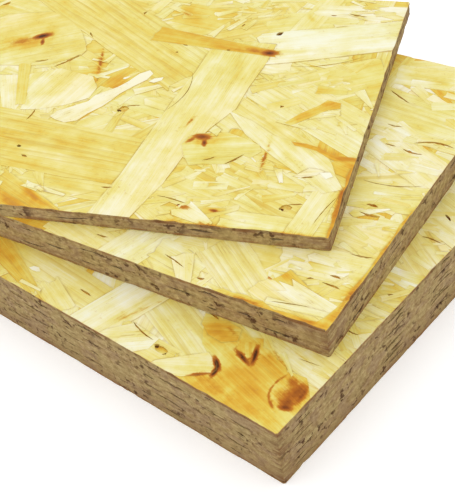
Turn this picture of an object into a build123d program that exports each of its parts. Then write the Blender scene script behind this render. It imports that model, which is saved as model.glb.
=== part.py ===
from build123d import *
import os

# A fanned stack of three OSB sample boards, sawn from pressed sheets of three thicknesses.
# Millimetres and degrees. +Z is up, and the origin is the centre of the lowest board's underside.
# The front corner of a board is the one towards +X and -Y, and the boards fan out around it.

# Sawn size of every board
board_length = 200.0
board_depth = 140.0

# The three pressed thicknesses
thin_thickness = 6.0
medium_thickness = 12.0
thick_thickness = 25.0

# How the upper boards lie: front corner set back from the lowest board's, then turned about it
medium_setback_x = 5.0
medium_setback_y = 33.0
medium_turn = 8.0
thin_setback_x = 25.0
thin_setback_y = 62.0
thin_turn = 23.5

# Crushed upright corners left by handling
corner_wear = 0.6

# Gaps between the strands, open at the sawn sides, in rows between the two faces
gap_row_pitch = 2.6
gap_column_pitch = 33.0
gap_width_min = 4.0
gap_width_max = 15.0
gap_height_min = 0.5
gap_height_max = 1.1
gap_depth_min = 1.5
gap_depth_max = 4.0
gap_cover = 0.4

# Face strands torn off along the arrises by the saw
torn_depth = 0.7
torn_pitch = 42.0
torn_length_min = 9.0
torn_length_max = 26.0
torn_reach_min = 0.8
torn_reach_max = 2.6

# Fractions whose multiples scatter evenly, so that no two gaps or torn strands are alike,
# and where each board starts in that scatter
scatter_a = 0.6180
scatter_b = 0.7549
scatter_c = 0.5698
thin_scatter_start = 11
medium_scatter_start = 7
thick_scatter_start = 3


def between(low, high, index, step):
    """A size between low and high, picked by a running index."""
    return low + (high - low) * ((index + 1) * step % 1)


def sides():
    """Each sawn side in turn: its start corner, its direction and its length."""
    corners = [
        Vector(-board_length, 0),
        Vector(0, 0),
        Vector(0, board_depth),
        Vector(-board_length, board_depth),
    ]
    for start, end in zip(corners, corners[1:] + corners[:1]):
        yield start, (end - start).normalized(), (end - start).length


def gap_outline(width, height):
    """The lens-like mouth of a gap where strands cross and don't close."""
    half_width = width / 2
    half_height = height / 2
    return Polygon(
        (-half_width, 0),
        (-0.3 * half_width, -half_height),
        (0.5 * half_width, -0.7 * half_height),
        (half_width, 0),
        (0.4 * half_width, half_height),
        (-0.5 * half_width, 0.8 * half_height),
        align=None,
    )


def strand_gaps(thickness, scatter_start):
    """The gaps that open at the four sawn sides of one board."""
    cutters = []
    index = scatter_start
    margin = torn_depth + gap_height_max / 2 + gap_cover
    rows = max(1, round((thickness - 2 * margin) / gap_row_pitch))
    row_step = (thickness - 2 * margin) / rows
    end_margin = gap_depth_max + gap_cover
    for start, along, side_length in sides():
        side = Plane(origin=start, x_dir=along, z_dir=along.cross(Vector(0, 0, 1)))
        columns = max(1, round((side_length - 2 * end_margin) / gap_column_pitch))
        column_step = (side_length - 2 * end_margin) / columns
        for row in range(rows):
            level = margin + (row + 0.5) * row_step
            for column in range(columns):
                index += 1
                width = min(between(gap_width_min, gap_width_max, index, scatter_a), column_step - gap_cover)
                height = min(between(gap_height_min, gap_height_max, index, scatter_b), row_step - gap_cover)
                depth = between(gap_depth_min, gap_depth_max, index, scatter_c)
                slack = (column_step - width) / 2
                centre = end_margin + (column + 0.5) * column_step + between(-slack, slack, index, scatter_b)
                mouth = side * Pos(centre, level) * gap_outline(width, height)
                cutters.append(extrude(mouth, amount=-depth))
    return cutters


def torn_outline(length, reach):
    """Plan of a torn-off strand end, open at the sawn side and ragged inside."""
    return Polygon(
        (0, -torn_reach_max),
        (length, -torn_reach_max),
        (length, 0.2 * reach),
        (0.7 * length, 0.5 * reach),
        (0.55 * length, reach),
        (0.2 * length, 0.6 * reach),
        (0, 0.15 * reach),
        align=None,
    )


def torn_strands(thickness, scatter_start):
    """Shallow pockets along the upper and lower arrises, one strand deep."""
    cutters = []
    index = scatter_start
    end_margin = torn_reach_max + gap_cover
    for start, along, side_length in sides():
        count = max(1, round((side_length - 2 * end_margin) / torn_pitch))
        step = (side_length - 2 * end_margin) / count
        for level, inwards in ((thickness, -1), (0, 1)):
            face = Plane(origin=start + Vector(0, 0, level), x_dir=along, z_dir=(0, 0, 1))
            for place in range(count):
                index += 1
                length = min(between(torn_length_min, torn_length_max, index, scatter_a), step - gap_cover)
                reach = between(torn_reach_min, torn_reach_max, index, scatter_b)
                begin = end_margin + place * step + (step - length) * (index * scatter_c % 1)
                plan = face * Pos(begin, 0) * torn_outline(length, reach)
                cutters.append(extrude(plan, amount=inwards * torn_depth))
    return cutters


def board(thickness, scatter_start):
    """One pressed board with its front corner at the origin and its underside at Z 0."""
    blank = Pos(-board_length / 2, board_depth / 2, thickness / 2) * Box(board_length, board_depth, thickness)
    blank = chamfer(blank.edges().filter_by(Axis.Z), corner_wear)
    return blank - strand_gaps(thickness, scatter_start) - torn_strands(thickness, scatter_start)


def laid(solid, setback_x, setback_y, turn, level):
    """A board moved to its place in the stack, turned about its front corner."""
    front_corner = Pos(board_length / 2 - setback_x, -board_depth / 2 + setback_y, level)
    return front_corner * Rot(0, 0, turn) * solid


panels = {
    "thick_panel": laid(board(thick_thickness, thick_scatter_start), 0, 0, 0, 0),
    "medium_panel": laid(
        board(medium_thickness, medium_scatter_start),
        medium_setback_x,
        medium_setback_y,
        medium_turn,
        thick_thickness,
    ),
    "thin_panel": laid(
        board(thin_thickness, thin_scatter_start),
        thin_setback_x,
        thin_setback_y,
        thin_turn,
        thick_thickness + medium_thickness,
    ),
}

os.makedirs("parts", exist_ok=True)
for name, panel in panels.items():
    export_step(panel, f"parts/{name}.step")
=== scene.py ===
import math
import bpy
import numpy as np
from mathutils import Matrix, Vector
from mathutils.geometry import delaunay_2d_cdt


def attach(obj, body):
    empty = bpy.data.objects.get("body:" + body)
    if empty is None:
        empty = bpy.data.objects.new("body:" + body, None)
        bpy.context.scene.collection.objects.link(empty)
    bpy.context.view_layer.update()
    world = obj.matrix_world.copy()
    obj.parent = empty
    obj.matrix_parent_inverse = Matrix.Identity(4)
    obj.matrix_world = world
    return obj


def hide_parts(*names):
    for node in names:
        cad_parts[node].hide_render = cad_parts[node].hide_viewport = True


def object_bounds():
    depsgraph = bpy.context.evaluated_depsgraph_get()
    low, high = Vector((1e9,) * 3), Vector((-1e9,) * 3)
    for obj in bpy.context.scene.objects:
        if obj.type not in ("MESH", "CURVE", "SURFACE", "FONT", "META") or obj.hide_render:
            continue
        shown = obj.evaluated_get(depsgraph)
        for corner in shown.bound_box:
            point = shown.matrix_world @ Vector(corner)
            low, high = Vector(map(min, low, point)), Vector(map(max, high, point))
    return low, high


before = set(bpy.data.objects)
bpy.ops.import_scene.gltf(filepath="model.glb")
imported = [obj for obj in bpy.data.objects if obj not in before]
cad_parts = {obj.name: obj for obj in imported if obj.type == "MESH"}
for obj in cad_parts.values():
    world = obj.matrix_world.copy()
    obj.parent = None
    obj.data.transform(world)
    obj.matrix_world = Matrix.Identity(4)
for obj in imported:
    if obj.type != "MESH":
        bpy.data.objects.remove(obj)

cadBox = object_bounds()
mm = 0.001

# The stack, as the solids have it. Plans of strands are in millimetres, in a board's own corner:
# its front corner is at 0, 0, and the board lies over negative x and positive y.
stack = {
    "length": 200.0,
    "depth": 140.0,
    "cornerWear": 0.3,    # how far the upright corners are rubbed back
    "faceLayer": 1.0,     # depth of the layer that the face strands are modelled in
    "sideLayer": 4.3,     # the same for the strand ends at the sawn sides
    "smoothAngle": 32,
}

boards = {
    "thinPanel": {
        "node": "thin_panel", "slot": "thin_osb", "thickness": 6.0, "level": 37.0,
        "setback": (25.0, 62.0), "turn": 23.5, "seed": 11, "scatter": 11,
        "cornerShadeReach": 9.0,     # how far the painted shade on the sawn sides reaches from the upright corners
    },
    "mediumPanel": {
        "node": "medium_panel", "slot": "medium_osb", "thickness": 12.0, "level": 25.0,
        "setback": (5.0, 33.0), "turn": 8.0, "seed": 7, "scatter": 7,
        "cornerShadeReach": 8.0,
    },
    "thickPanel": {
        "node": "thick_panel", "slot": "thick_osb", "thickness": 25.0, "level": 0.0,
        "setback": (0.0, 0.0), "turn": 0.0, "seed": 3, "scatter": 3,
        "cornerShadeReach": 6.0,
    },
}


def turned(angle):
    return np.array([math.cos(math.radians(angle)), math.sin(math.radians(angle))])


# Camera, at the photograph's own standpoint

camera = {
    "place": (0.26721, -0.23305, 0.31588),
    "turn": (47.000, 7.340, 40.107),   # degrees
    "focalPixels": 1246.5,
    "frame": (455, 500),               # pixels
    "sensor": 36.0,
}


def addCamera():
    data = bpy.data.cameras.new("camera")
    data.sensor_width = camera["sensor"]
    data.lens = camera["focalPixels"] * camera["sensor"] / max(camera["frame"])
    data.clip_start = 0.01
    ob = bpy.data.objects.new("camera", data)
    ob.location = camera["place"]
    ob.rotation_euler = [math.radians(a) for a in camera["turn"]]
    bpy.context.collection.objects.link(ob)
    bpy.context.scene.camera = ob


addCamera()
print("camera placed")


# Strand outlines

strandShape = {
    "pointPitch": 9.0,      # along a side
    "jitter": 0.3,          # how far a point may slip, as a share of the pitch
    "wobble": 0.018,        # unevenness of the width
    "splintered": 0.5,      # share of the sides that have lost a splinter
    "spared": (0.9, 0.97),  # what a lost splinter leaves of the width
    "toothPitch": 2.2,      # across a torn end
    "slant": 0.35,          # how far an end may be out of square
    "reaches": [0.25, 0.5, 1.0, 1.6], "shares": [0.35, 0.3, 0.25, 0.1],   # how far ends are torn, how often
    "slip": 400.0,          # spreads the strands over the wood pattern
    "tilt": 0.0012,
    "roughened": 0.15,      # unevenness of a drawn outline
}


def strandOutline(rng, start, end, widths, torn=2.0, bow=0.0):
    # a long flake: near-straight sides with fibre steps, ends torn or cut across the grain
    start, end = np.array(start, float), np.array(end, float)
    length = np.linalg.norm(end - start)
    along = (end - start) / length
    across = np.array([-along[1], along[0]])
    width, jitter = max(widths), strandShape["jitter"]
    count = max(3, int(length / strandShape["pointPitch"]) + 1)
    sides = []
    for side in (1, -1):
        t = np.linspace(0, 1, count)
        t[1:-1] += rng.uniform(-jitter, jitter, count - 2) / count
        wobble = 1 + rng.normal(0, strandShape["wobble"], count)
        half = (widths[0] + (widths[1] - widths[0]) * t) / 2 * wobble
        if count > 4 and rng.rand() < strandShape["splintered"]:
            at = rng.randint(1, count - 1)
            half[at:] *= rng.uniform(*strandShape["spared"])
        path = t[:, None] * length * along + (side * half + bow * 4 * t * (1 - t))[:, None] * across
        sides.append(start + path)
    ends = []
    slant = rng.uniform(-strandShape["slant"], strandShape["slant"])
    for cap, sign in ((end, 1), (start, -1)):
        teeth = int(np.clip(width / strandShape["toothPitch"], 1, 9))
        reach = torn * rng.choice(strandShape["reaches"], p=strandShape["shares"])
        half = (widths[1] if sign > 0 else widths[0]) / 2
        place = np.linspace(half, -half, teeth + 2)[1:-1] * sign
        place = place + rng.uniform(-jitter, jitter, teeth) * width / (teeth + 1)
        out = sign * rng.uniform(-0.5, 0.5, teeth) * reach + slant * place
        ends.append(cap + out[:, None] * along + place[:, None] * across)
    return np.vstack([sides[0], ends[0], sides[1][::-1], ends[1]])


def flake(rng, start, end, widths, tone=0.45, rings=0.0, torn=2.0, bow=0.0, line=None, fade=0.0):
    start, end = np.array(start, float), np.array(end, float)
    angle = math.degrees(math.atan2(*(end - start)[::-1]))
    return {
        "outline": strandOutline(rng, start, end, widths, torn, bow),
        "centre": (start + end) / 2,
        "angle": angle,
        "tone": tone,
        "rings": rings,
        "line": rng.uniform(0.15, 1.0) if line is None else line,
        "fade": fade,                              # change of tone from the middle to the far end
        "half": np.linalg.norm(end - start) / 2,
        "slip": rng.uniform(-1, 1, 2) * strandShape["slip"],
        "tilt": rng.normal(0, 1, 2) * strandShape["tilt"],
        "sunk": 0.0,
    }


def patch(rng, outline, angle, tone=0.45, rings=0.0, line=0.5, fade=0.0):
    # a flake with an outline of its own, such as a rounded or curled end
    outline = np.array(outline, float)
    middle, along = outline.mean(0), turned(angle)
    half = np.abs((outline - middle) @ along).max()
    start, end = middle - along * half, middle + along * half
    shape = flake(rng, start, end, (1, 1), tone, rings, line=line, fade=fade)
    shape["outline"] = outline + rng.normal(0, strandShape["roughened"], outline.shape)
    return shape


voidShape = {
    "pointPitch": 1.1, "points": (4, 16), "jitter": 0.35,
    "slitWidth": 2.0,       # what is wider is a hole with round sides
    "fullness": 0.8,        # lower is blunter
    "smooth": 0.28, "ragged": (0.35, 0.95),        # a slit's two sides, as shares of its width
    "holeSmooth": 0.5, "holeRagged": (0.45, 0.1),
    "bow": 0.05,
}


def pit(rng, centre, size, angle, depth, tone=0.9, brown=0.5):
    # a void beside a strand's edge: one side near straight, the other ragged, both ends drawn out
    count = int(np.clip(size[0] / voidShape["pointPitch"], *voidShape["points"]))
    jitter = voidShape["jitter"]
    t = np.linspace(-1, 1, count + 2)[1:-1] + rng.uniform(-jitter, jitter, count) / count
    full = (1 - t ** 2) ** voidShape["fullness"]
    smooth, ragged = voidShape["smooth"], rng.uniform(*voidShape["ragged"], count)
    if size[1] > voidShape["slitWidth"]:
        least, swing = voidShape["holeRagged"]
        smooth, ragged = voidShape["holeSmooth"], least + ragged * swing
    straight = np.c_[t * size[0] / 2, full * size[1] * smooth]
    torn = np.c_[t * size[0] / 2, -full * size[1] * ragged][::-1]
    tips = np.array([(-size[0] / 2, 0), (size[0] / 2, 0)])
    ring = np.vstack([tips[:1], straight, tips[1:], torn])
    ring[:, 1] += rng.normal(0, voidShape["bow"]) * size[0] * (1 - (ring[:, 0] * 2 / size[0]) ** 2)
    if rng.rand() < 0.5:
        ring[:, 1] *= -1
    a, b = turned(angle), turned(angle + 90)
    shape = flake(rng, -a + centre, a + centre, (1, 1), tone)
    shape["outline"] = np.array(centre) + ring[:, :1] * a + ring[:, 1:] * b
    shape["sunk"] = depth
    # brown darkens the void's floor: painted shade of the hole
    shape["brown"] = brown
    return shape


# Laying the strands: the visible outline of each is worked out, and the whole becomes one closed slab
# with a step at every strand's edge.

laying = {
    "rim": 0.32,       # width of the rounded rim along a strand's edge
    "seamShade": 0.95,      # width of the painted shade beside it, on the strand below
    "rimDrop": 0.035,
    "spacing": 3.0,    # longest piece of an outline between two points
    "grid": 7.0,       # points inside a strand, for its slow waviness
    "leastStep": 0.006,
    "smallest": 0.8,   # sampling for strands that are buried
    "rimPieces": 0.8,  # shortest piece of an outline that gets a rim
    "rimPlaces": (0.06, 0.5, 0.94),
    "probe": 0.05, "sideProbe": 0.12,              # how near its own strand is looked for
    "rimBeyond": 1.9, "seamBeyond": 1.7,           # how far it must go on, in widths of the band
    "margin": 0.5,     # from a point inside a strand to the strand's edge
    "tolerance": 0.03, "crossing": 1e-3, "weld": 1e-4, "sliver": 1e-7,
    "clearance": 0.001,   # below the solid's own face
    "mostTilt": 0.05,
    "seed": 5,
}


def inside(points, outline):
    x, y = points[:, :1], points[:, 1:]
    ax, ay = outline[:, 0], outline[:, 1]
    bx, by = np.roll(ax, -1), np.roll(ay, -1)
    rise = np.where(by == ay, 1e-12, by - ay)
    crossing = ((ay > y) != (by > y)) & (x < ax + (y - ay) * (bx - ax) / rise)
    return crossing.sum(1) % 2 == 1


def topShape(points, shapes, domain):
    # number of the strand that lies uppermost at each point, and -1 off the board
    owner = np.full(len(points), -1)
    free = np.nonzero(inside(points, domain))[0]
    for number in range(len(shapes) - 1, 0, -1):
        low, high = shapes[number]["low"], shapes[number]["high"]
        spot = points[free]
        near = ((spot > low) & (spot < high)).all(1)
        if near.any():
            hit = np.zeros(len(free), bool)
            hit[near] = inside(spot[near], shapes[number]["outline"])
            owner[free[hit]] = number
            free = free[~hit]
    owner[free] = 0
    return owner


def gridOver(domain, pitch):
    low, high = domain.min(0), domain.max(0)
    gx, gy = np.meshgrid(np.arange(low[0], high[0], pitch), np.arange(low[1], high[1], pitch))
    return np.c_[gx.ravel(), gy.ravel()]


def thinned(chain, points, tolerance):
    # Douglas-Peucker on one run of an outline
    if len(chain) < 3:
        return chain
    path = points[chain]
    keep = {0, len(chain) - 1}
    if chain[0] == chain[-1]:
        keep.add(len(chain) // 2)
    work = sorted(keep)
    work = list(zip(work, work[1:]))
    while work:
        a, b = work.pop()
        if b - a < 2:
            continue
        d = path[b] - path[a]
        size = max(np.linalg.norm(d), 1e-9)
        away = np.abs(np.cross(d, path[a + 1:b] - path[a])) / size
        far = int(away.argmax())
        if away[far] > tolerance:
            keep.add(a + 1 + far)
            work += [(a, a + 1 + far), (a + 1 + far, b)]
    return [chain[k] for k in sorted(keep)]


def visibleLinks(flat, triangles, owner):
    # edges that divide two visible strands, as links between the plan points
    sides = np.vstack([triangles[:, [0, 1]], triangles[:, [1, 2]], triangles[:, [2, 0]]])
    sideOwner = np.tile(owner, 3)
    key = sides.min(1).astype(np.int64) * len(flat) + sides.max(1)
    order = np.argsort(key, kind="stable")
    key, sides, sideOwner = key[order], sides[order], sideOwner[order]
    links = {}
    at = 0
    while at < len(key):
        pair = at + 1 < len(key) and key[at + 1] == key[at]
        other = sideOwner[at + 1] if pair else -1
        if sideOwner[at] != other:
            a, b = map(int, sides[at])
            links.setdefault(a, []).append(b)
            links.setdefault(b, []).append(a)
        at += 2 if pair else 1
    return links


def visibleRuns(shapes, domain):
    # pass one: all outlines crossed with each other, and only what divides two visible strands kept
    points = [Vector(p) for p in domain]
    faces = [list(range(len(points)))]
    for shape in shapes[1:]:
        faces.append(list(range(len(points), len(points) + len(shape["outline"]))))
        points += [Vector(p) for p in shape["outline"]]
    flat, _, triangles, *_ = delaunay_2d_cdt(points, [], faces, 1, laying["crossing"], False)
    flat = np.array([p[:] for p in flat])
    triangles = np.array(triangles)
    links = visibleLinks(flat, triangles, topShape(flat[triangles].mean(1), shapes, domain))
    runs = []
    used = set()
    # from where three or more strands meet, then the closed rings that are left
    for start in [v for v in links if len(links[v]) != 2] + list(links):
        for step in links[start]:
            if (start, step) in used:
                continue
            chain = [start, step]
            used.update({(start, step), (step, start)})
            while len(links[chain[-1]]) == 2 and chain[-1] != start:
                a, b = links[chain[-1]]
                following = b if a == chain[-2] else a
                used.update({(chain[-1], following), (following, chain[-1])})
                chain.append(following)
            runs.append(flat[thinned(chain, flat, laying["tolerance"])])
    return runs


def spacedRuns(runs):
    # points along the runs and the edges between them, then the places and ways of their rims
    points, edges, rims = [], [], []
    place = {}

    def pointAt(p):
        key = (round(p[0], 3), round(p[1], 3))
        if key not in place:
            place[key] = len(points)
            points.append(p)
        return place[key]

    for run in runs:
        path = [run[0]]
        for a, b in zip(run, run[1:]):
            count = max(1, int(np.linalg.norm(b - a) / laying["spacing"]))
            path += [a + (b - a) * k / count for k in range(1, count + 1)]
        ids = [pointAt(p) for p in path]
        edges += [(a, b) for a, b in zip(ids, ids[1:]) if a != b]
        path = np.array(path)
        for a, b in zip(path, path[1:]):
            d = b - a
            size = np.linalg.norm(d)
            if size > laying["rimPieces"]:
                normal = np.array([-d[1], d[0]]) / size
                for t in (laying["rimPlaces"] if size > 2 * laying["rim"] else (0.5,)):
                    rims += [(a + d * t, normal), (a + d * t, -normal)]
    return points, edges, np.array([p for p, n in rims]), np.array([n for p, n in rims])


def rimPoints(base, normal, shapes, domain):
    # a band of points on both sides of each run: the seam of painted shade on the lower strand, the rim
    # elsewhere
    near = topShape(base + normal * laying["probe"], shapes, domain)
    far = topShape(base + normal * laying["rim"] * laying["rimBeyond"], shapes, domain)
    above = (near > near.reshape(-1, 2)[:, ::-1].ravel())
    tangent = np.c_[-normal[:, 1], normal[:, 0]] * laying["sideProbe"]

    def clear(width, which):   # the band's points must lie well inside the strand they belong to
        band = base + normal * width
        good = which & (near == far) & (near >= 0)
        for shift in (0, 1, -1):
            good &= topShape(band + tangent * shift, shapes, domain) == near
        return good, band

    wide, seamShade = clear(laying["seamShade"], ~above)
    wide &= topShape(base + normal * laying["seamShade"] * laying["seamBeyond"], shapes, domain) == near
    narrow, rim = clear(laying["rim"], ~wide)
    return [*seamShade[wide], *rim[narrow]]


def innerPoints(extra, shapes, domain):
    rng = np.random.RandomState(laying["seed"])
    inner = gridOver(domain, laying["grid"])
    inner += rng.uniform(0, laying["grid"], inner.shape)
    inner = np.vstack([inner] + ([extra] if len(extra) else []))
    owner = topShape(inner, shapes, domain)
    good = owner >= 0
    gap = laying["margin"]
    for way in ((gap, 0), (-gap, 0), (0, gap), (0, -gap)):
        good &= topShape(inner + way, shapes, domain) == owner
    return list(inner[good])


def undivided(triangles, fixed):
    # triangles that no run divides get the same number
    parent = list(range(len(triangles)))

    def root(k):
        while parent[k] != k:
            parent[k] = parent[parent[k]]
            k = parent[k]
        return k

    seen = {}
    for k, (a, b, c) in enumerate(triangles.tolist()):
        for e in ((a, b), (b, c), (c, a)):
            e = tuple(sorted(e))
            if e in fixed:
                continue
            if e in seen:
                parent[root(k)] = root(seen[e])
            else:
                seen[e] = k
    return [root(k) for k in range(len(triangles))]


def layout(shapes, domain, extra):
    # pass two: the visible runs, a rim of points on both sides of each, and points inside
    points, edges, base, normal = spacedRuns(visibleRuns(shapes, domain))
    points += rimPoints(base, normal, shapes, domain) + innerPoints(extra, shapes, domain)
    points = [Vector(p) for p in points]
    flat, lines, triangles, _, lineFrom, _ = delaunay_2d_cdt(points, edges, [], 0, laying["weld"], True)
    flat = np.array([p[:] for p in flat])
    triangles = np.array(triangles)
    fixed = {tuple(sorted(e)) for e, source in zip(lines, lineFrom) if source}
    # each undivided patch belongs to the strand that most of its area lies on
    groups = undivided(triangles, fixed)
    corner = flat[triangles]
    area = np.abs(np.cross(corner[:, 1] - corner[:, 0], corner[:, 2] - corner[:, 0])) / 2
    guess = topShape(corner.mean(1), shapes, domain)
    votes = {}
    for g, o, size in zip(groups, guess.tolist(), area.tolist()):
        votes.setdefault(g, {}).setdefault(o, 0.0)
        votes[g][o] += size
    winner = {g: max(v, key=v.get) for g, v in votes.items()}
    owner = np.array([winner[g] for g in groups])
    keep = (owner >= 0) & (area > laying["sliver"])
    return flat, triangles[keep], owner[keep]


def settled(shapes, spot, owner, rank, at, level):
    # heights where a plan point meets a strand: in the strands' order, a small step apart, lower at a rim
    total = len(shapes)
    sunk = np.array([s["sunk"] for s in shapes])
    levels = np.array([level(k / total) for k in range(total)])
    tilt = np.array([s["tilt"] for s in shapes])
    centre = np.array([s["centre"] for s in shapes])
    slope = ((spot - centre[owner]) * tilt[owner]).sum(1)
    height = levels[owner] + slope.clip(-laying["mostTilt"], laying["mostTilt"])
    height = np.where(sunk[owner] > 0, -sunk[owner], height)
    rim, grooveShade = np.zeros(len(spot)), np.zeros(len(spot))
    step, top = laying["leastStep"], -laying["clearance"]
    for here in at.values():
        if len(here) > 1:
            here.sort(key=lambda pair: rank[owner[pair]])
            for a, b in zip(here, here[1:]):
                drop = min(laying["rimDrop"], 0.4 * max(0, height[b] - height[a]))
                height[b] = max(height[b] - drop, height[a] + step)
                rim[b] = 1
                # painted contact shade on the lower strand beside the step, as strong as the upper strand's
                # line
                grooveShade[a] = max(grooveShade[a], shapes[owner[b]]["line"])
            height[here[-1]] = min(height[here[-1]], top)
            for a, b in zip(here[-2::-1], here[:0:-1]):
                height[a] = min(height[a], height[b] - step)
    return np.minimum(height, top), rim, grooveShade


def stepWalls(triangles, owner, rank, pairOwner, at):
    # a wall at each edge between two strands; edges on the outside are given back too
    border = {}
    for tri, mine in zip(triangles.tolist(), owner.tolist()):
        for a, b in zip(tri, tri[1:] + tri[:1]):
            border[(a, b)] = mine
    walls, outer = [], []
    for (a, b), mine in border.items():
        other = border.get((b, a), -1)
        if other == -1:
            outer.append((a, b, mine))
        elif other != mine and rank[mine] > rank[other]:
            fall = [p for p in at[a][::-1] if rank[other] <= rank[pairOwner[p]] <= rank[mine]]
            climb = [p for p in at[b] if rank[other] <= rank[pairOwner[p]] <= rank[mine]]
            walls.append((fall + climb, mine))
    return walls, outer


def skirted(outer, first, rank, pairOwner, at):
    # outer walls and the back's own ring of points, numbered from first
    following, backAt = {}, {}
    for a, b, _ in outer:
        following[a] = b
        for p in (a, b):
            backAt.setdefault(p, first + len(backAt))
    skirts = []
    for a, b, mine in outer:
        fall = [p for p in at[a][::-1] if rank[pairOwner[p]] <= rank[mine]]
        climb = [p for p in at[b] if rank[pairOwner[p]] <= rank[mine]]
        skirts.append((fall + [backAt[a], backAt[b]] + climb, mine))
    start = outer[0][0]
    loop, here = [start], following[start]
    while here != start and len(loop) <= len(following):
        loop.append(here)
        here = following[here]
    return skirts, backAt, [backAt[p] for p in loop][::-1]


def slab(shapes, domain, back, level, wave, extra=()):
    # the closed slab: tops at each strand's level, a wall at each step, outer walls and a flat back
    for shape in shapes:
        shape["low"], shape["high"] = shape["outline"].min(0), shape["outline"].max(0)
    shown = set(topShape(gridOver(domain, laying["smallest"]), shapes, domain).tolist()) | {0}
    shapes = [shape for number, shape in enumerate(shapes) if number in shown]
    total = len(shapes)
    flat, triangles, owner = layout(shapes, domain, np.array(extra))
    # pairs of a plan point and a strand that meets there
    pairKey = triangles.astype(np.int64) * total + owner[:, None]
    pairs, tops = np.unique(pairKey.ravel(), return_inverse=True)
    pairPoint, pairOwner = pairs // total, pairs % total
    at = {}
    for pair, point in enumerate(pairPoint.tolist()):
        at.setdefault(point, []).append(pair)
    rank = np.array([k - (2 * total if s["sunk"] else 0) for k, s in enumerate(shapes)])
    spot = flat[pairPoint]
    height, rim, grooveShade = settled(shapes, spot, pairOwner, rank, at, level)
    walls, outer = stepWalls(triangles, owner, rank, pairOwner, at)
    skirts, backAt, backFace = skirted(outer, len(pairs), rank, pairOwner, at)
    backSpots = [[*flat[p], -back] for p in backAt]
    return {
        "shapes": shapes, "vertices": np.vstack([np.c_[spot, height + wave(spot)], backSpots]),
        "tops": tops.reshape(-1, 3), "walls": walls, "skirts": skirts, "back": backFace,
        "rim": rim, "grooveShade": grooveShade, "domain": domain,
        "flat": flat, "pairPoint": pairPoint, "pairOwner": pairOwner,
        "backAt": {v: k for k, v in backAt.items()},
    }


# Mesh of one board from its slabs

def gauss(spots, marks):
    # how strongly resin stains and knots colour each spot: amber, then brown
    amber, brown = np.zeros(len(spots)), np.zeros(len(spots))
    for mark in marks:
        a, b = turned(mark["angle"]), turned(mark["angle"] + 90)
        d = spots - mark["at"]
        reach = np.exp(-((d @ a / mark["size"][0]) ** 2 + (d @ b / mark["size"][1]) ** 2))
        amber = np.maximum(amber, mark["amber"] * reach)
        brown = np.maximum(brown, mark["brown"] * reach ** 1.5)
    return amber, brown


def marksPoints(marks):
    # more points around each mark, so that its colour spreads smoothly
    out = []
    for mark in marks:
        a = turned(mark["angle"]) * mark["size"][0]
        b = turned(mark["angle"] + 90) * mark["size"][1]
        out.append(np.array(mark["at"], float))
        for k, share in enumerate((0.3, 0.6, 0.95, 1.4, 1.9)):
            for j in range(8 + 2 * k):
                t = 2 * math.pi * (j + 0.5 * (k % 2)) / (8 + 2 * k)
                out.append(mark["at"] + share * (math.cos(t) * a + math.sin(t) * b))
    return out


def stained(data, marks, spot):
    # a mark stays on the strand that carries its middle, unless it spreads everywhere
    centres = np.array([m["at"] for m in marks]) if marks else np.zeros((0, 2))
    carriers = topShape(centres, data["shapes"], data["domain"]) if marks else []
    amber, brown = np.zeros(len(spot)), np.zeros(len(spot))
    for number in set(carriers):
        own = [m for m, c in zip(marks, carriers) if c == number and not m["everywhere"]]
        pick = data["pairOwner"] == number
        amber[pick], brown[pick] = gauss(spot[pick], own)
    a, b = gauss(spot, [m for m in marks if m["everywhere"]])
    return np.maximum(amber, a), np.maximum(brown, b)


def grainUv(shapes, owner, spots):
    angle = np.radians(np.array([s["angle"] for s in shapes]))[owner]
    centre = np.array([s["centre"] for s in shapes])[owner]
    slip = np.array([s["slip"] for s in shapes])[owner]
    d = spots - centre
    u = d[:, 0] * np.cos(angle) + d[:, 1] * np.sin(angle)
    v = d[:, 1] * np.cos(angle) - d[:, 0] * np.sin(angle)
    return (np.c_[u, v] + slip) * mm


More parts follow.
